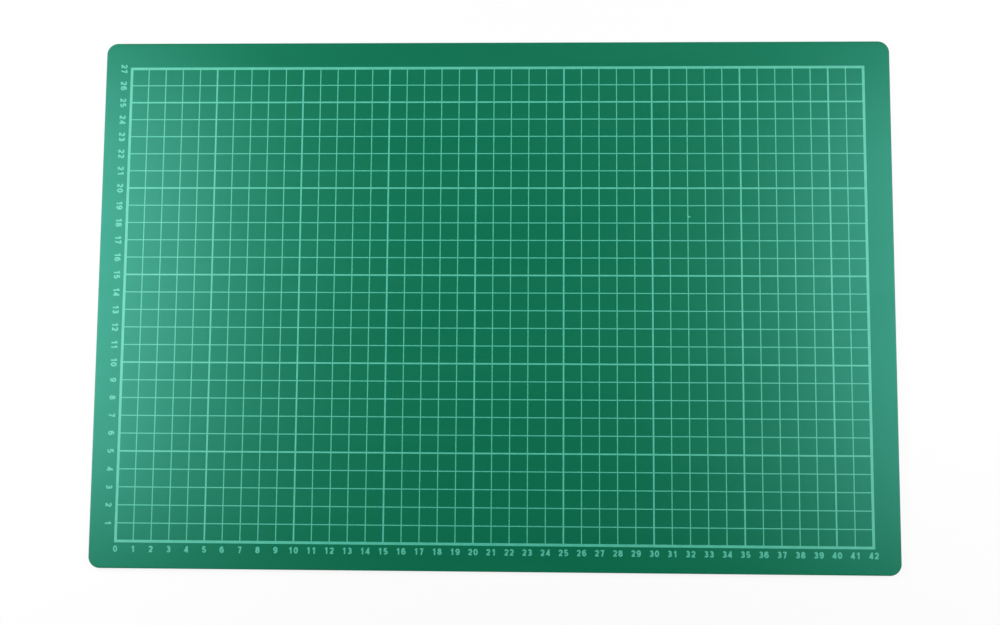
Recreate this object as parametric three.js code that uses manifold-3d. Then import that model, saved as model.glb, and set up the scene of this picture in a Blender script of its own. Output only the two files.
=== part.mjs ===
// Self-healing cutting mat: five vinyl plies pressed into one sheet, with a centimetre grid printed on top.
// Millimetres, +Z up. The origin is the middle of the underside, X runs along the mat's length
// and Y across it, away from the edge that carries the long scale.

import * as THREE from 'three';
import { mergeVertices } from 'three/addons/utils/BufferGeometryUtils.js';
import Module from 'manifold-3d';

// Outline of the die-cut sheet
const MAT_LENGTH = 450;
const MAT_WIDTH = 300;
const CORNER_RADIUS = 6.5;
const EDGE_ROUND = 0.3; // rim of both outer faces, eased as the die goes through

// Plies, from the two outer faces to the core
const SURFACE_PLY = 0.78; // soft vinyl that closes again behind a blade
const BACKING_PLY = 0.4; // firmer vinyl that holds the soft ply to the core
const CORE_PLY = 0.6; // hard vinyl that stops the blade
const BOND_GAP = 0.01; // clearance between faces that are pressed or printed together

// Printed grid
const GRID_PITCH = 10;
const GRID_MARGIN = 15; // least distance from the sheet's edge to the middle of the border line
const HEAVY_EVERY = 5; // cells from one heavier line to the next, counted from the scales' zero
const FINE_LINE = 0.55;
const HEAVY_LINE = 0.9;
const BORDER_LINE = 1.5;
const INK_FILM = 0.02;

// Facets
const CORNER_SEGMENTS = 6; // for each quarter turn of the outline, which an arc divides into twice as many
const RIM_SEGMENTS = 3; // for the quarter turn of the rim

// Heights of the plies' undersides, and of the finished sheet
const LOWER_BACKING_Z = SURFACE_PLY + BOND_GAP;
const CORE_Z = LOWER_BACKING_Z + BACKING_PLY + BOND_GAP;
const UPPER_BACKING_Z = CORE_Z + CORE_PLY + BOND_GAP;
const TOP_SURFACE_Z = UPPER_BACKING_Z + BACKING_PLY + BOND_GAP;
const SHEET_TOP = TOP_SURFACE_Z + SURFACE_PLY;

// Whole cells that fit inside the margins. The slack keeps rounding from losing the last one.
const COUNT_SLACK = 1e-6;
const COLUMNS = Math.floor((MAT_LENGTH - 2 * GRID_MARGIN) / GRID_PITCH + COUNT_SLACK);
const ROWS = Math.floor((MAT_WIDTH - 2 * GRID_MARGIN) / GRID_PITCH + COUNT_SLACK);

const greenVinyl = { color: 0x146e52, roughness: 0.55, metalness: 0 };
const backingVinyl = { color: 0x0f4f3d, roughness: 0.6, metalness: 0 };
const coreVinyl = { color: 0xcfd3c6, roughness: 0.5, metalness: 0 };
const mintInk = { color: 0x55ba9e, roughness: 0.5, metalness: 0 };

const wasm = await Module();
wasm.setup();

// A solid for cutting, from a closed geometry's positions alone.
function toSolid(geometry) {
  geometry.deleteAttribute('normal');
  geometry.deleteAttribute('uv');
  const merged = mergeVertices(geometry);
  return new wasm.Manifold(new wasm.Mesh({
    numProp: 3,
    vertProperties: merged.attributes.position.array,
    triVerts: merged.index.array,
  }));
}

// A box for cutting, from its limits along X, Y and Z.
function boxSolid([left, right], [front, back], [low, high]) {
  const box = new THREE.BoxGeometry(right - left, back - front, high - low);
  box.translate((left + right) / 2, (front + back) / 2, (low + high) / 2);
  return toSolid(box);
}

function toGeometry(solid) {
  const { vertProperties, triVerts } = solid.getMesh();
  const geometry = new THREE.BufferGeometry();
  geometry.setAttribute('position', new THREE.BufferAttribute(vertProperties, 3));
  geometry.setIndex(new THREE.BufferAttribute(triVerts, 1));
  geometry.computeVertexNormals();
  return geometry;
}

// The sheet seen from above: a rectangle with round corners.
function matOutline() {
  const x = MAT_LENGTH / 2 - CORNER_RADIUS;
  const y = MAT_WIDTH / 2 - CORNER_RADIUS;
  const corners = [[x, y], [-x, y], [-x, -y], [x, -y]];
  const outline = new THREE.Shape();
  corners.forEach(([cornerX, cornerY], turn) => {
    const start = (turn * Math.PI) / 2;
    outline.absarc(cornerX, cornerY, CORNER_RADIUS, start, start + Math.PI / 2);
  });
  return outline;
}

// An inner ply, square at both rims and standing on z = 0.
function innerPly(thickness) {
  return new THREE.ExtrudeGeometry(matOutline(), {
    depth: thickness,
    bevelEnabled: false,
    curveSegments: CORNER_SEGMENTS,
  });
}

// An outer ply with its bonded face on z = 0 and its free face, with the eased rim, above.
// It is the upper half of a plate eased at both rims.
function surfacePly() {
  const easedPlate = new THREE.ExtrudeGeometry(matOutline(), {
    depth: 2 * (SURFACE_PLY - EDGE_ROUND),
    bevelThickness: EDGE_ROUND,
    bevelSize: EDGE_ROUND,
    bevelOffset: -EDGE_ROUND,
    bevelSegments: RIM_SEGMENTS,
    curveSegments: CORNER_SEGMENTS,
  });
  easedPlate.translate(0, 0, EDGE_ROUND - SURFACE_PLY);
  const lowerHalf = boxSolid([-MAT_LENGTH, MAT_LENGTH], [-MAT_WIDTH, MAT_WIDTH], [-2 * SURFACE_PLY, 0]);
  return toGeometry(toSolid(easedPlate).subtract(lowerHalf));
}

// Width of one printed line, of those numbered from zero to the count of cells.
function lineWidth(line, cells) {
  if (line === 0 || line === cells) {
    return BORDER_LINE;
  }
  return line % HEAVY_EVERY === 0 ? HEAVY_LINE : FINE_LINE;
}

// A film of ink: lines along Y, spaced along X over a count of cells, their ends joined by the border.
// It is a plate with the bare gap between each line and the next cut out.
function lineFilm(cells, cellsAlongLine) {
  const halfRun = (cells * GRID_PITCH) / 2;
  const halfLine = (cellsAlongLine * GRID_PITCH) / 2;
  const border = BORDER_LINE / 2;
  let film = boxSolid(
    [-halfRun - border, halfRun + border],
    [-halfLine - border, halfLine + border],
    [0, INK_FILM],
  );
  for (let cell = 0; cell < cells; cell += 1) {
    const left = cell * GRID_PITCH - halfRun + lineWidth(cell, cells) / 2;
    const right = (cell + 1) * GRID_PITCH - halfRun - lineWidth(cell + 1, cells) / 2;
    film = film.subtract(boxSolid(
      [left, right],
      [border - halfLine, halfLine - border],
      [-INK_FILM, 2 * INK_FILM],
    ));
  }
  return toGeometry(film);
}

function namedMesh(name, geometry, look, z) {
  const mesh = new THREE.Mesh(geometry, new THREE.MeshStandardMaterial(look));
  mesh.name = name;
  mesh.position.z = z;
  return mesh;
}

// The five plies. The bottom one is a surface ply turned over.
const sheet = new THREE.Group();
const bottomSurface = namedMesh('bottom_surface_ply', surfacePly(), greenVinyl, SURFACE_PLY);
bottomSurface.rotation.x = Math.PI;
sheet.add(
  bottomSurface,
  namedMesh('lower_backing_ply', innerPly(BACKING_PLY), backingVinyl, LOWER_BACKING_Z),
  namedMesh('core_ply', innerPly(CORE_PLY), coreVinyl, CORE_Z),
  namedMesh('upper_backing_ply', innerPly(BACKING_PLY), backingVinyl, UPPER_BACKING_Z),
  namedMesh('top_surface_ply', surfacePly(), greenVinyl, TOP_SURFACE_Z),
);

// The print: upright lines first, then the cross lines over them, turned a quarter so that they run along X.
const print = new THREE.Group();
print.position.z = SHEET_TOP + BOND_GAP;
const crossLines = namedMesh('grid_cross_lines', lineFilm(ROWS, COLUMNS), mintInk, INK_FILM + BOND_GAP);
crossLines.rotation.z = Math.PI / 2;
print.add(namedMesh('grid_upright_lines', lineFilm(COLUMNS, ROWS), mintInk, 0), crossLines);

const cuttingMat = new THREE.Group();
cuttingMat.add(sheet, print);

export default cuttingMat;
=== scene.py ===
import bpy
import numpy as np
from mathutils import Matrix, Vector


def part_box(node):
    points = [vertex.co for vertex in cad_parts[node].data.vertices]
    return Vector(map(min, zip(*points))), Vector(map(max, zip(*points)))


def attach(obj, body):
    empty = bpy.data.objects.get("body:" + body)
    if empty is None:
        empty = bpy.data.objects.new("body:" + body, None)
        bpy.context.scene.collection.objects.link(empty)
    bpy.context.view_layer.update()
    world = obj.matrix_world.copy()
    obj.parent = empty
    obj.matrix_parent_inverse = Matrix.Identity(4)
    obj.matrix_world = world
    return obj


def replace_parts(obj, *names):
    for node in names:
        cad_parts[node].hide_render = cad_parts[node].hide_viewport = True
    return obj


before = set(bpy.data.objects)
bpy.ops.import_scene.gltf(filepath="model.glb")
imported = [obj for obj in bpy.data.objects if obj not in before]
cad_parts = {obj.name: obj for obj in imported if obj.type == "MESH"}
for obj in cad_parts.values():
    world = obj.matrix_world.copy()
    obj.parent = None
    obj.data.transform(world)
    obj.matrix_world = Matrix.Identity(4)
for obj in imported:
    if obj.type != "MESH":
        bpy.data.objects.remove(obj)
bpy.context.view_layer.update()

# Bottom surface ply
# The lowest of five vinyl plies that are pressed hot into one sheet: soft green vinyl whose matt grain
# grips the bench. One stroke of a steel rule die cuts the whole stack and eases its outer rims.

CORNER_RADIUS = 0.0065
CORNER_STEPS = 24
OUTER_EASE = 0.0003
BONDED_EASE = 0.00003
RIM_STEPS = 6
RIM_BORDER = 0.001


def die_cut_outline(low, high):
    """Points round the outline, anticlockwise from above, and their outward normals.

    Each corner is a quarter circle about a centre that lies one corner radius in from both edges.
    The straight edges run from the end of one quarter circle to the start of the next.
    """
    turn = np.linspace(0, np.pi / 2, CORNER_STEPS + 1)
    angle = (turn + np.arange(4)[:, None] * np.pi / 2).ravel()
    normal = np.stack([np.cos(angle), np.sin(angle)], axis=1)
    quarter = np.repeat([[1, 1], [-1, 1], [-1, -1], [1, -1]], CORNER_STEPS + 1, axis=0)
    centre = (low + high) / 2 + quarter * ((high - low) / 2 - CORNER_RADIUS)
    return centre + CORNER_RADIUS * normal, normal


def rim_profile(low, high, low_ease, high_ease):
    """Insets and heights up a ply's edge, from its lower face to its upper one.

    Each rim is a quarter circle of its ease, with the upright wall between them. One more step at
    either end is a narrow border of the flat face.
    """
    turn = np.linspace(0, np.pi / 2, RIM_STEPS + 1)
    inset = [low_ease + RIM_BORDER, *low_ease * (1 - np.sin(turn)),
             *high_ease * (1 - np.cos(turn)), high_ease + RIM_BORDER]
    height = [low, *low + low_ease * (1 - np.cos(turn)), *high - high_ease * (1 - np.sin(turn)), high]
    return np.array(inset), np.array(height)


def new_object(name, data):
    """An object in the scene that holds a mesh, a lamp or a camera."""
    made = bpy.data.objects.new(name, data)
    bpy.context.scene.collection.objects.link(made)
    return made


def new_mesh(name, points, faces):
    """A mesh from its points and faces."""
    mesh = bpy.data.meshes.new(name)
    mesh.from_pydata(points.tolist(), [], faces)
    return mesh


def mat_piece(name, points, faces):
    """A new piece of the mat, with its place in its mesh."""
    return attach(new_object(name, new_mesh(name, points, faces)), "root")


def pressed_ply(name, node, low_ease, high_ease):
    """One ply as a closed mesh: the rim profile carried round the outline, each face closed at its middle.

    The ring at a step of the profile is the outline moved in along its normals by the inset there.
    """
    low, high = np.array(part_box(node))
    outline, normal = die_cut_outline(low[:2], high[:2])
    inset, height = rim_profile(low[2], high[2], low_ease, high_ease)
    rings = np.empty((len(inset), len(outline), 3))
    rings[..., :2] = outline - inset[:, None, None] * normal
    rings[..., 2] = height[:, None]
    middle = (low + high) / 2
    face_middles = [[middle[0], middle[1], low[2]], [middle[0], middle[1], high[2]]]

    count = len(outline)
    here = np.arange(count)
    after = (here + 1) % count
    ring = np.arange(len(inset) - 1)[:, None] * count
    edge = np.stack([ring + here, ring + after, ring + count + after, ring + count + here], axis=-1)
    edge = edge.reshape(-1, 4).tolist()
    last_ring = (len(inset) - 1) * count
    lower_middle = np.full(count, len(inset) * count)
    lower_face = np.stack([lower_middle, after, here], axis=1).tolist()
    upper_face = np.stack([lower_middle + 1, last_ring + here, last_ring + after], axis=1).tolist()

    points = np.concatenate([rings.reshape(-1, 3), face_middles])
    piece = mat_piece(name, points, edge + lower_face + upper_face)
    is_edge = np.arange(len(piece.data.polygons)) < len(edge)
    piece.data.polygons.foreach_set("use_smooth", is_edge)
    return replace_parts(piece, node)


class Shade:
    """An output of a node in a material. Sums, differences and products with it add Math nodes there."""

    def __init__(self, output):
        self.output = output

    def node(self, kind, settings=None, sockets=None, output=0):
        """Adds a node, its settings first, then a value or link for each socket. Gives one output."""
        tree = self.output.id_data
        made = tree.nodes.new(kind)
        for name, value in (settings or {}).items():
            setattr(made, name, value)
        for name, value in (sockets or {}).items():
            if isinstance(value, Shade):
                tree.links.new(value.output, made.inputs[name])
            else:
                made.inputs[name].default_value = value
        return Shade(made.outputs[output]) if len(made.outputs) else None

    def math(self, operation, *values):
        """One step of arithmetic on numbers and outputs."""
        return self.node("ShaderNodeMath", {"operation": operation}, dict(enumerate(values)))

    def __add__(self, other):
        return self.math("ADD", self, other)

    def __sub__(self, other):
        return self.math("SUBTRACT", self, other)

    def __rsub__(self, other):
        return self.math("SUBTRACT", other, self)

    def __mul__(self, other):
        return self.math("MULTIPLY", self, other)

    __radd__ = __add__
    __rmul__ = __mul__


def new_finish(name):
    """A bare material, and the Object coordinates that its patterns are laid out in."""
    material = bpy.data.materials.new(name)
    material.use_nodes = True
    material.node_tree.nodes.clear()
    return material, Shade(material.node_tree.nodes.new("ShaderNodeTexCoord").outputs["Object"])


def mottle(place, size):
    """Soft random blots of about a size, which swing by up to a half to either side of 0."""
    return place.node("ShaderNodeTexNoise", None, {"Vector": place, "Scale": 1 / size}) - 0.5


def drawn_out(place, x, y, z):
    """The coordinates divided by a stretch along each axis, so that a pattern on them is drawn out."""
    return place.node("ShaderNodeMapping", None, {"Vector": place, "Scale": (1 / x, 1 / y, 1 / z)})


def wall_share(place):
    """1 on the upright cut edge, 0 on the flat faces: one less the size of the normal's height."""
    normal = place.node("ShaderNodeNewGeometry", output="Normal")
    height = place.node("ShaderNodeSeparateXYZ", None, {0: normal}, output="Z")
    return 1 - height.math("ABSOLUTE", height)


def mixed(share, first, second):
    """The first colour where the share is 0 and the second where it is 1.

    Of a Mix node's sockets, 6, 7 and output 2 are the ones for colours.
    """
    return share.node("ShaderNodeMix", {"data_type": "RGBA"}, {0: share, 6: first, 7: second}, output=2)


CLOUD_SIZE = 0.07
CLOUD_TONE = 0.5
ROLL_MARK_SIZE = 0.011
ROLL_STRETCH = 12
ROLL_TONE = 0.5
ROLL_ROUGHNESS = 0.08
GRAIN_SIZE = 0.0004
GRAIN_DEPTH = 0.00003
GRAIN_TONE = 0.6
GRAIN_ROUGHNESS = 0.12
DIE_MARK_SIZE = 0.0007
DIE_STRETCH = 50
DIE_MARK_RELIEF = 2
WALL_DARKENING = 0.1
WALL_ROUGHNESS = 0.15
VINYL_IOR = 1.62


def pressed_vinyl(name, deep, pale, roughness, gloss):
    """Calendered vinyl: cloudy pigment drawn out along the sheet, and a fine matt grain.

    The cut edge also has the upright strokes of the die. The tone runs from deep at 0 to pale at 1.
    """
    material, place = new_finish(name)
    cloud = mottle(place, CLOUD_SIZE)
    rolled = mottle(drawn_out(place, ROLL_STRETCH, 1, 1), ROLL_MARK_SIZE)
    grain = mottle(place, GRAIN_SIZE)
    wall = wall_share(place)
    strokes = wall * mottle(drawn_out(place, 1, 1, DIE_STRETCH), DIE_MARK_SIZE)
    pigment = 0.5 + CLOUD_TONE * cloud + ROLL_TONE * rolled + GRAIN_TONE * grain
    tone = pigment + strokes - WALL_DARKENING * wall
    relief = grain + DIE_MARK_RELIEF * strokes
    bump = place.node("ShaderNodeBump", None, {"Distance": GRAIN_DEPTH, "Height": relief})
    shine = place.node("ShaderNodeBsdfPrincipled", None, {
        "Base Color": mixed(tone, deep, pale),
        "Roughness": roughness + ROLL_ROUGHNESS * rolled + GRAIN_ROUGHNESS * grain + WALL_ROUGHNESS * wall,
        "IOR": VINYL_IOR,
        "Specular Tint": gloss,
        "Normal": bump,
    })
    place.node("ShaderNodeOutputMaterial", None, {"Surface": shine})
    return material


DEEP_GREEN = (0.0009, 0.133, 0.0583, 1)
PALE_GREEN = (0.0015, 0.151, 0.0670, 1)
GREEN_GLOSS = (0.265, 1.0, 0.93, 1)
GREEN_ROUGHNESS = 0.368
green_vinyl = pressed_vinyl("green_vinyl", DEEP_GREEN, PALE_GREEN, GREEN_ROUGHNESS, GREEN_GLOSS)

bottom_surface = pressed_ply("bottom_surface", "bottom_surface_ply", OUTER_EASE, BONDED_EASE)
bottom_surface.data.materials.append(green_vinyl)

# Backing plies
# Two thin sheets of firmer vinyl, one on each side of the core, which carry the soft plies and spread the
# load of the blade. They are coloured darker, and only their cut edge shows.

DEEP_BACKING = (0.003, 0.062, 0.035, 1)
PALE_BACKING = (0.006, 0.085, 0.049, 1)
BACKING_ROUGHNESS = 0.5
backing_vinyl = pressed_vinyl("backing_vinyl", DEEP_BACKING, PALE_BACKING, BACKING_ROUGHNESS, GREEN_GLOSS)

for name, node in (("lower_backing", "lower_backing_ply"), ("upper_backing", "upper_backing_ply")):
    backing = pressed_ply(name, node, BONDED_EASE, BONDED_EASE)
    backing.data.materials.append(backing_vinyl)

# Core ply
# The hard sheet in the middle that stops the blade and keeps the mat flat: filled, undyed vinyl, welded to
# the backing plies in the same press. It shows as an off-white line along the cut edge.

DEEP_CORE = (0.50, 0.53, 0.45, 1)
PALE_CORE = (0.64, 0.66, 0.58, 1)
CORE_GLOSS = (1, 1, 1, 1)
CORE_ROUGHNESS = 0.5
core_vinyl = pressed_vinyl("core_vinyl", DEEP_CORE, PALE_CORE, CORE_ROUGHNESS, CORE_GLOSS)

core = pressed_ply("core", "core_ply", BONDED_EASE, BONDED_EASE)
core.data.materials.append(core_vinyl)

# Top surface ply
# The face that is cut on: the same soft green vinyl as underneath, which closes again behind a blade.
# It is the last sheet in the press, and its rim is eased where the die comes in.

top_surface = pressed_ply("top_surface", "top_surface_ply", BONDED_EASE, OUTER_EASE)
top_surface.data.materials.append(green_vinyl)

# Printed grid
# A centimetre grid, screen printed in one pass of mint vinyl ink that bonds into the green. The border is
# the widest line, and every fifth line from the zero at the lower left is heavier than the rest.

GRID_PITCH = 0.01
HEAVY_EVERY = 5
FINE_LINE = 0.00055
HEAVY_LINE = 0.0009
BORDER_LINE = 0.0015
INK_FILM = 0.00002
INK_ROOT = 0.000005
INK_SLOPE = 0.00003
MAT_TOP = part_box("top_surface_ply")[1].z
grid_low, grid_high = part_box("grid_upright_lines")
COLUMNS = round((grid_high.x - grid_low.x) / GRID_PITCH)
ROWS = round((grid_high.y - grid_low.y) / GRID_PITCH)


def line_edges(cells):
    """Both edges of each line at its foot and at its top, in turn along the scale.

    An edge is the line's place, less and plus half its width, and at the top it is drawn in by the slope.
    """
    width = np.full(cells + 1, FINE_LINE)
    width[::HEAVY_EVERY] = HEAVY_LINE
    width[[0, -1]] = BORDER_LINE
    place = (np.arange(cells + 1) - cells / 2) * GRID_PITCH
    half = width / 2 - np.array([[0], [INK_SLOPE]])
    return (place[:, None] + half[..., None] * [-1, 1]).reshape(2, -1)


def printed_lattice(x, y, low, high):
    """Points and faces of a film on the grid of x and y edges, inked along every line, bare in each cell.

    A step between edges is a line where its number is even. A square of the grid is inked where either of
    its two steps is a line. Inked squares have a face above and below, and a wall beside each bare one.
    """
    levels = [np.stack(np.meshgrid(x[level], y[level], height, indexing="ij"), axis=-1)
              for level, height in enumerate((low, high))]
    points = np.concatenate(levels, axis=2).reshape(-1, 3)
    number = np.arange(len(points)).reshape(x.shape[1], y.shape[1], 2)
    foot, top = number[..., 0], number[..., 1]
    line_x = np.arange(x.shape[1] - 1)[:, None] % 2 == 0
    line_y = np.arange(y.shape[1] - 1)[None, :] % 2 == 0
    inked = line_x | line_y
    i, j = np.nonzero(inked)
    upper = np.stack([top[i, j], top[i + 1, j], top[i + 1, j + 1], top[i, j + 1]], axis=1)
    lower = np.stack([foot[i, j], foot[i, j + 1], foot[i + 1, j + 1], foot[i + 1, j]], axis=1)
    change_x = np.diff(np.pad(inked, ((1, 1), (0, 0))).astype(int), axis=0)
    change_y = np.diff(np.pad(inked, ((0, 0), (1, 1))).astype(int), axis=1)
    walls = []
    for change, di, dj, turn in ((change_x, 0, 1, 1), (change_y, 1, 0, -1)):
        for step in (1, -1):
            i, j = np.nonzero(change == step)
            wall = np.stack([foot[i, j], top[i, j], top[i + di, j + dj], foot[i + di, j + dj]], axis=1)
            walls.append(wall[:, ::step * turn])
    return points, np.concatenate([upper, lower, *walls]).tolist()


INK_PATCH_SIZE = 0.004
INK_PATCH_DENSITY = 1.2
INK_PATCH_ROUGHNESS = 0.1
MESH_MARK_SIZE = 0.0003
MESH_MARK_DEPTH = 0.000003
MESH_MARK_DENSITY = 0.5
INK_ROUGHNESS = 0.45


def screen_ink(name, thin, full):
    """Vinyl ink: denser and thinner patches along each stroke, and a little of the screen's texture.

    The density runs from thin at 0 to full at 1.
    """
    material, place = new_finish(name)
    patch = mottle(place, INK_PATCH_SIZE)
    mesh_mark = mottle(place, MESH_MARK_SIZE)
    density = 0.5 + INK_PATCH_DENSITY * patch + MESH_MARK_DENSITY * mesh_mark
    bump = place.node("ShaderNodeBump", None, {"Distance": MESH_MARK_DEPTH, "Height": mesh_mark})
    shine = place.node("ShaderNodeBsdfPrincipled", None, {
        "Base Color": mixed(density, thin, full),
        "Roughness": INK_ROUGHNESS + INK_PATCH_ROUGHNESS * patch,
        "Normal": bump,
    })
    place.node("ShaderNodeOutputMaterial", None, {"Surface": shine})
    return material


THIN_INK = (0.056, 0.430, 0.302, 1)
FULL_INK = (0.084, 0.530, 0.380, 1)
mint_ink = screen_ink("mint_ink", THIN_INK, FULL_INK)

film_low, film_high = MAT_TOP - INK_ROOT, MAT_TOP + INK_FILM
lattice = printed_lattice(line_edges(COLUMNS), line_edges(ROWS), film_low, film_high)
printed_grid = mat_piece("printed_grid", *lattice)
printed_grid.data.materials.append(mint_ink)
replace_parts(printed_grid, "grid_upright_lines", "grid_cross_lines")

# Fleck of ink
# A small wedge of the same ink, which ran out under the screen beside the 32 cm line. It is bonded to the
# top ply as the lines are.

FLECK_COLUMN = 32
FLECK_ROW = 18.36
FLECK_CORNERS = [[0, -0.0009], [0.0006, -0.0003], [0.0016, 0.0001], [0.0005, 0.0003], [0, 0.0008]]

fleck_x = (FLECK_COLUMN - COLUMNS / 2) * GRID_PITCH + FINE_LINE / 2
fleck_y = (FLECK_ROW - ROWS / 2) * GRID_PITCH
fleck_outline = np.array(FLECK_CORNERS) + [fleck_x, fleck_y]
count = len(fleck_outline)
fleck_heights = np.repeat([film_low, film_high], count)
fleck_points = np.c_[np.tile(fleck_outline, (2, 1)), fleck_heights]
here = np.arange(count)
after = (here + 1) % count
fleck_wall = np.stack([here, after, after + count, here + count], axis=1).tolist()
fleck = mat_piece("ink_fleck", fleck_points, [here[::-1].tolist(), (here + count).tolist(), *fleck_wall])
fleck.data.materials.append(mint_ink)

# Numbers of both scales
# Plain sans figures from the same screen and ink as the grid. The long scale stands upright below it, from
# 0 to 42. The short scale, from 1 to 27, is turned a quarter clockwise, its heads to the grid.

FIGURE_HEIGHT = 0.0036
FIGURE_STROKE = 0.00084
ARC_STEP = np.radians(26)


def arc(x, y, across, up, start, end):
    """Points of an ellipse about a centre, from one angle in degrees to another."""
    first, last = np.radians(start), np.radians(end)
    angle = np.linspace(first, last, 1 + int(np.ceil(abs(last - first) / ARC_STEP)))
    return np.stack([x + across * np.cos(angle), y + up * np.sin(angle)], axis=1)


def stroke_line(*runs):
    """Arcs and corners in order, as one centre line."""
    return np.concatenate([np.reshape(run, (-1, 2)) for run in runs])


# Centre lines of each figure's strokes, in heights of a figure, with the foot line and the middle at 0.
FOOT = FIGURE_STROKE / FIGURE_HEIGHT / 2
HEAD = 1 - FOOT
SIDE = 0.23
SIX = [arc(0, 0.345, SIDE, 0.345 - FOOT, 0, 360),
       stroke_line(arc(0.02, 0.58, SIDE + 0.02, HEAD - 0.58, 40, 180), (-SIDE, 0.345))]
FIGURES = {
    "0": [arc(0, 0.5, SIDE, 0.5 - FOOT, 0, 360)],
    "1": [stroke_line((0.07, 0), (0.07, 1)), stroke_line((-0.17, 0.69), (0.07, 0.9))],
    "2": [stroke_line(arc(0, HEAD - 0.213, 0.213, 0.213, 170, -38), (-0.19, 0.12)),
          stroke_line((-0.27, FOOT), (0.26, FOOT))],
    "3": [stroke_line(arc(0, 0.7, 0.19, HEAD - 0.7, 155, -90), (-0.06, 0.497)),
          stroke_line((-0.06, 0.505), arc(0, 0.3, SIDE, 0.3 - FOOT, 90, -155))],
    "4": [stroke_line((0.14, 0), (0.14, 1)), stroke_line((0.14, 0.95), (-0.2, 0.28), (0.31, 0.28))],
    "5": [stroke_line((0.21, HEAD), (-0.14, HEAD), (-0.185, 0.45)),
          arc(0, 0.33, SIDE, 0.33 - FOOT, 142, -150)],
    "6": SIX,
    "7": [stroke_line((-0.26, HEAD), (0.17, HEAD), (-0.06, 0))],
    "8": [arc(0, 0.715, 0.19, HEAD - 0.715, 0, 360), arc(0, 0.3, SIDE, 0.3 - FOOT, 0, 360)],
    "9": [(0, 1) - line for line in SIX],
}


def inked_stroke(line, low, high):
    """Points and faces of one stroke: a flat film of the stroke's width carried along its centre line.

    At each point the line is moved both ways along the mean of the normals before and after it, by half
    the stroke over the cosine of half the turn, so that a corner comes to a point. The top is drawn in by
    the slope.
    """
    closed = np.allclose(line[0], line[-1])
    if closed:
        line = line[:-1]
    run = np.roll(line, -1, axis=0) - line
    normal = np.stack([-run[:, 1], run[:, 0]], axis=1) / np.linalg.norm(run, axis=1)[:, None]
    before = np.roll(normal, 1, axis=0)
    if not closed:
        before[0] = normal[0]
        normal[-1] = before[-1]
    mean = normal + before
    foot = FIGURE_STROKE * mean / np.sum(mean * mean, axis=1)[:, None]
    top = foot * (1 - 2 * INK_SLOPE / FIGURE_STROKE)
    sides = np.stack([line + top, line - top, line - foot, line + foot], axis=1)
    height = np.broadcast_to(np.array([high, high, low, low])[None, :, None], (len(line), 4, 1))
    points = np.concatenate([sides, height], axis=2).reshape(-1, 3)
    here = np.arange(len(line) if closed else len(line) - 1)[:, None] * 4
    after = (here + 4) % len(points)
    corner = np.arange(4)
    beside = (corner + 1) % 4
    faces = np.stack([here + corner, here + beside, after + beside, after + corner], axis=-1)
    faces = faces.reshape(-1, 4).tolist()
    if not closed:
        end = len(points) - 4
        faces += [[3, 2, 1, 0], [end, end + 1, end + 2, end + 3]]
    return points, faces


def figure_film(figure):
    """Points and faces of a figure about its middle: a film for each stroke, later ones a little higher."""
    points, faces, count = [], [], 0
    for order, line in enumerate(FIGURES[figure]):
        stroke = inked_stroke(line * FIGURE_HEIGHT, film_low, film_high + order * INK_ROOT)
        points.append(stroke[0])
        faces.append(np.array(stroke[1]) + count)
        count += len(stroke[0])
    return np.concatenate(points), np.concatenate(faces)


def printed_scale(name, numbers, pitch, tuck, place):
    """A scale as one piece: each number's figures side by side about its middle, then put in place.

    The second figure stands one pitch from the first, less the tuck after a 1.
    """
    films = {figure: figure_film(figure) for figure in FIGURES}
    points, faces, count = [], [], 0
    for number in numbers:
        text = str(number)
        advance = pitch - tuck * text.startswith("1")
        for position, figure in enumerate(text):
            film_points, film_faces = films[figure]
            along = (position - (len(text) - 1) / 2) * advance
            points.append(place(number, film_points + [along, 0, 0]))
            faces.append(film_faces + count)
            count += len(film_points)
    piece = mat_piece(name, np.concatenate(points), np.concatenate(faces).tolist())
    piece.data.materials.append(mint_ink)
    return piece


LONG_SCALE_DROP = 0.00243
LONG_SCALE_PITCH = 0.003
LONG_SCALE_TUCK = 0.0
SHORT_SCALE_DROP = 0.00275
SHORT_SCALE_PITCH = 0.0029
SHORT_SCALE_TUCK = 0.00035


def below_column(column, points):
    """Upright and centred on the column's line, the heads one drop below the border's middle."""
    x = (column - COLUMNS / 2) * GRID_PITCH
    y = -ROWS / 2 * GRID_PITCH - LONG_SCALE_DROP - FIGURE_HEIGHT
    return points + [x, y, 0]


def beside_row(row, points):
    """Turned clockwise and centred on the row's line, the heads one drop left of the border's middle."""
    turned = points[:, [1, 0, 2]] * [1, -1, 1]
    x = -COLUMNS / 2 * GRID_PITCH - SHORT_SCALE_DROP - FIGURE_HEIGHT
    y = (row - ROWS / 2) * GRID_PITCH
    return turned + [x, y, 0]


columns = range(COLUMNS + 1)
rows = range(1, ROWS + 1)
printed_scale("long_scale_numbers", columns, LONG_SCALE_PITCH, LONG_SCALE_TUCK, below_column)
printed_scale("short_scale_numbers", rows, SHORT_SCALE_PITCH, SHORT_SCALE_TUCK, beside_row)

# Table, light and camera
# A white table under the mat, a softbox on either side of it as on a copying stand, a weaker one beyond the
# far edge, and a camera that looks almost straight down from the side of the long scale.

TABLE_HALF = 6.0
TABLE_WHITE = (0.9, 0.9, 0.9, 1)
PURE_WHITE = (1, 1, 1, 1)
WHITE_NEAR_MAT = 0.87
FADE_START = 0.25
FADE_END = 0.7


def ray_kinds(place):
    """1 or 0 for what the camera sees directly, and for what it sees in gloss or through glass."""
    seen = place.node("ShaderNodeLightPath", output="Is Camera Ray")
    kinds = seen.output.node.outputs
    mirrored = seen.math("MAXIMUM", Shade(kinds["Is Glossy Ray"]), Shade(kinds["Is Transmission Ray"]))
    return seen, mirrored


def fading(value, first, last, at_first, at_last):
    """A value carried from one range to another, and held at both ends."""
    sockets = {"Value": value, "From Min": first, "From Max": last, "To Min": at_first, "To Max": at_last}
    return value.node("ShaderNodeMapRange", None, sockets)


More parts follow.
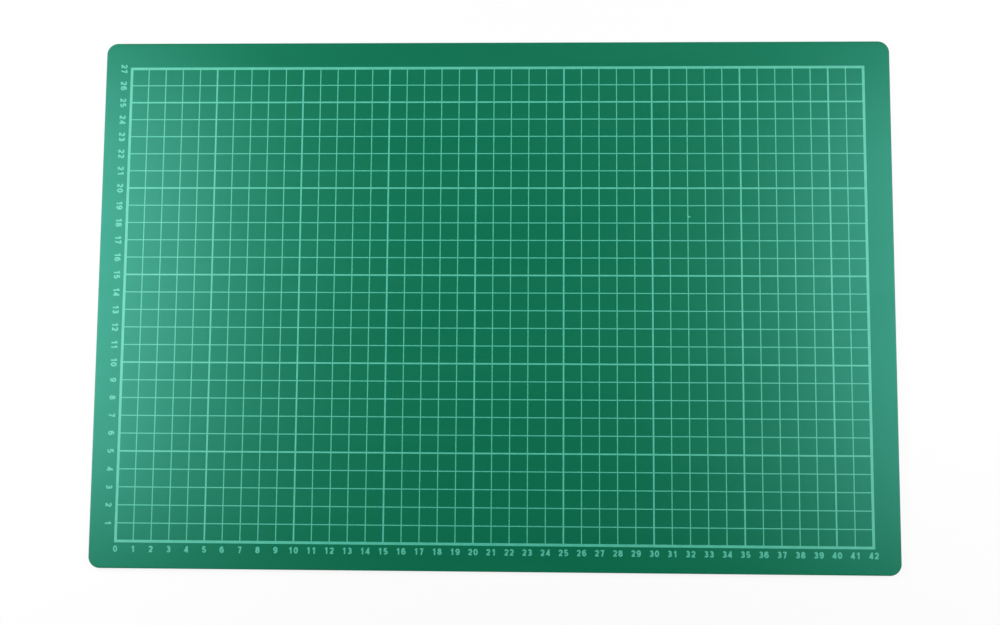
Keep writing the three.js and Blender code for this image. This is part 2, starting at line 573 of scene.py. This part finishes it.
# Round the mat the table shows its shadow. Further out it fades into the white of the backdrop.
table_finish, place = new_finish("white_table")
from_mat = place.node("ShaderNodeVectorMath", {"operation": "LENGTH"}, {0: place}, output="Value")
seen, mirrored = ray_kinds(place)
shows = seen.math("MAXIMUM", seen, mirrored)
whiteness = shows * fading(from_mat, FADE_START, FADE_END, WHITE_NEAR_MAT, 1.0)
lit = place.node("ShaderNodeBsdfDiffuse", None, {"Color": TABLE_WHITE})
white = place.node("ShaderNodeEmission", None, {"Color": PURE_WHITE, "Strength": 1.0})
shown = place.node("ShaderNodeMixShader", None, {0: whiteness, 1: lit, 2: white})
place.node("ShaderNodeOutputMaterial", None, {"Surface": shown})

table_corners = TABLE_HALF * np.array([[-1, -1, 0], [1, -1, 0], [1, 1, 0], [-1, 1, 0]])
table = new_object("table", new_mesh("table", table_corners, [[0, 1, 2, 3]]))
table.data.materials.append(table_finish)

SOFTBOX_LENGTH = 0.41
SOFTBOX_WIDTH = 0.29
LEFT_SOFTBOX = (-0.414, 0.045, 0.341)
LEFT_POWER = 2.43
RIGHT_SOFTBOX = (0.399, 0.045, 0.356)
RIGHT_POWER = 1.79
FAR_SOFTBOX = (0.082, 0.523, 0.388)
FAR_POWER = 0.84


def softbox(name, place, power):
    """An oblong lamp at a place, turned to the middle of the mat, its length level."""
    lamp = bpy.data.lights.new(name, "AREA")
    lamp.shape = "RECTANGLE"
    lamp.size = SOFTBOX_LENGTH
    lamp.size_y = SOFTBOX_WIDTH
    lamp.energy = power
    box = new_object(name, lamp)
    box.location = place
    box.rotation_euler = box.location.to_track_quat("Z", "Y").to_euler()
    box.visible_camera = False


softbox("left_softbox", LEFT_SOFTBOX, LEFT_POWER)
softbox("right_softbox", RIGHT_SOFTBOX, RIGHT_POWER)
softbox("far_softbox", FAR_SOFTBOX, FAR_POWER)

# The room is dim overhead, and its white backdrop stands round the table.
ROOM_LIGHT = 0.10
BACKDROP_FOOT = 0.05
BACKDROP_HEAD = 0.45
world = bpy.data.worlds.new("studio")
bpy.context.scene.world = world
world.use_nodes = True
world.node_tree.nodes.clear()
direction = Shade(world.node_tree.nodes.new("ShaderNodeTexCoord").outputs["Generated"])
up = direction.node("ShaderNodeSeparateXYZ", None, {0: direction}, output="Z")
seen, mirrored = ray_kinds(direction)
backdrop = seen.math("MAXIMUM", seen, fading(up, BACKDROP_FOOT, BACKDROP_HEAD, 1.0, 0.0) * mirrored)
room = direction.node("ShaderNodeBackground", None, {"Color": PURE_WHITE, "Strength": ROOM_LIGHT})
white = direction.node("ShaderNodeBackground", None, {"Color": PURE_WHITE, "Strength": 1.0})
shown = direction.node("ShaderNodeMixShader", None, {0: backdrop, 1: room, 2: white})
direction.node("ShaderNodeOutputWorld", None, {"Surface": shown})

# The camera's place is measured from the middle of the printed face.
CAMERA_PLACE = (0.02406, -0.06720, 0.66164)
CAMERA_TURN = np.radians((5.288, 1.687, 0.361))
CAMERA_LENS = 42.48
camera = new_object("camera", bpy.data.cameras.new("camera"))
camera.data.lens = CAMERA_LENS
camera.location = np.array(CAMERA_PLACE) + [0, 0, MAT_TOP]
camera.rotation_euler = CAMERA_TURN
bpy.context.scene.camera = camera
bpy.context.scene.view_settings.view_transform = "Standard"
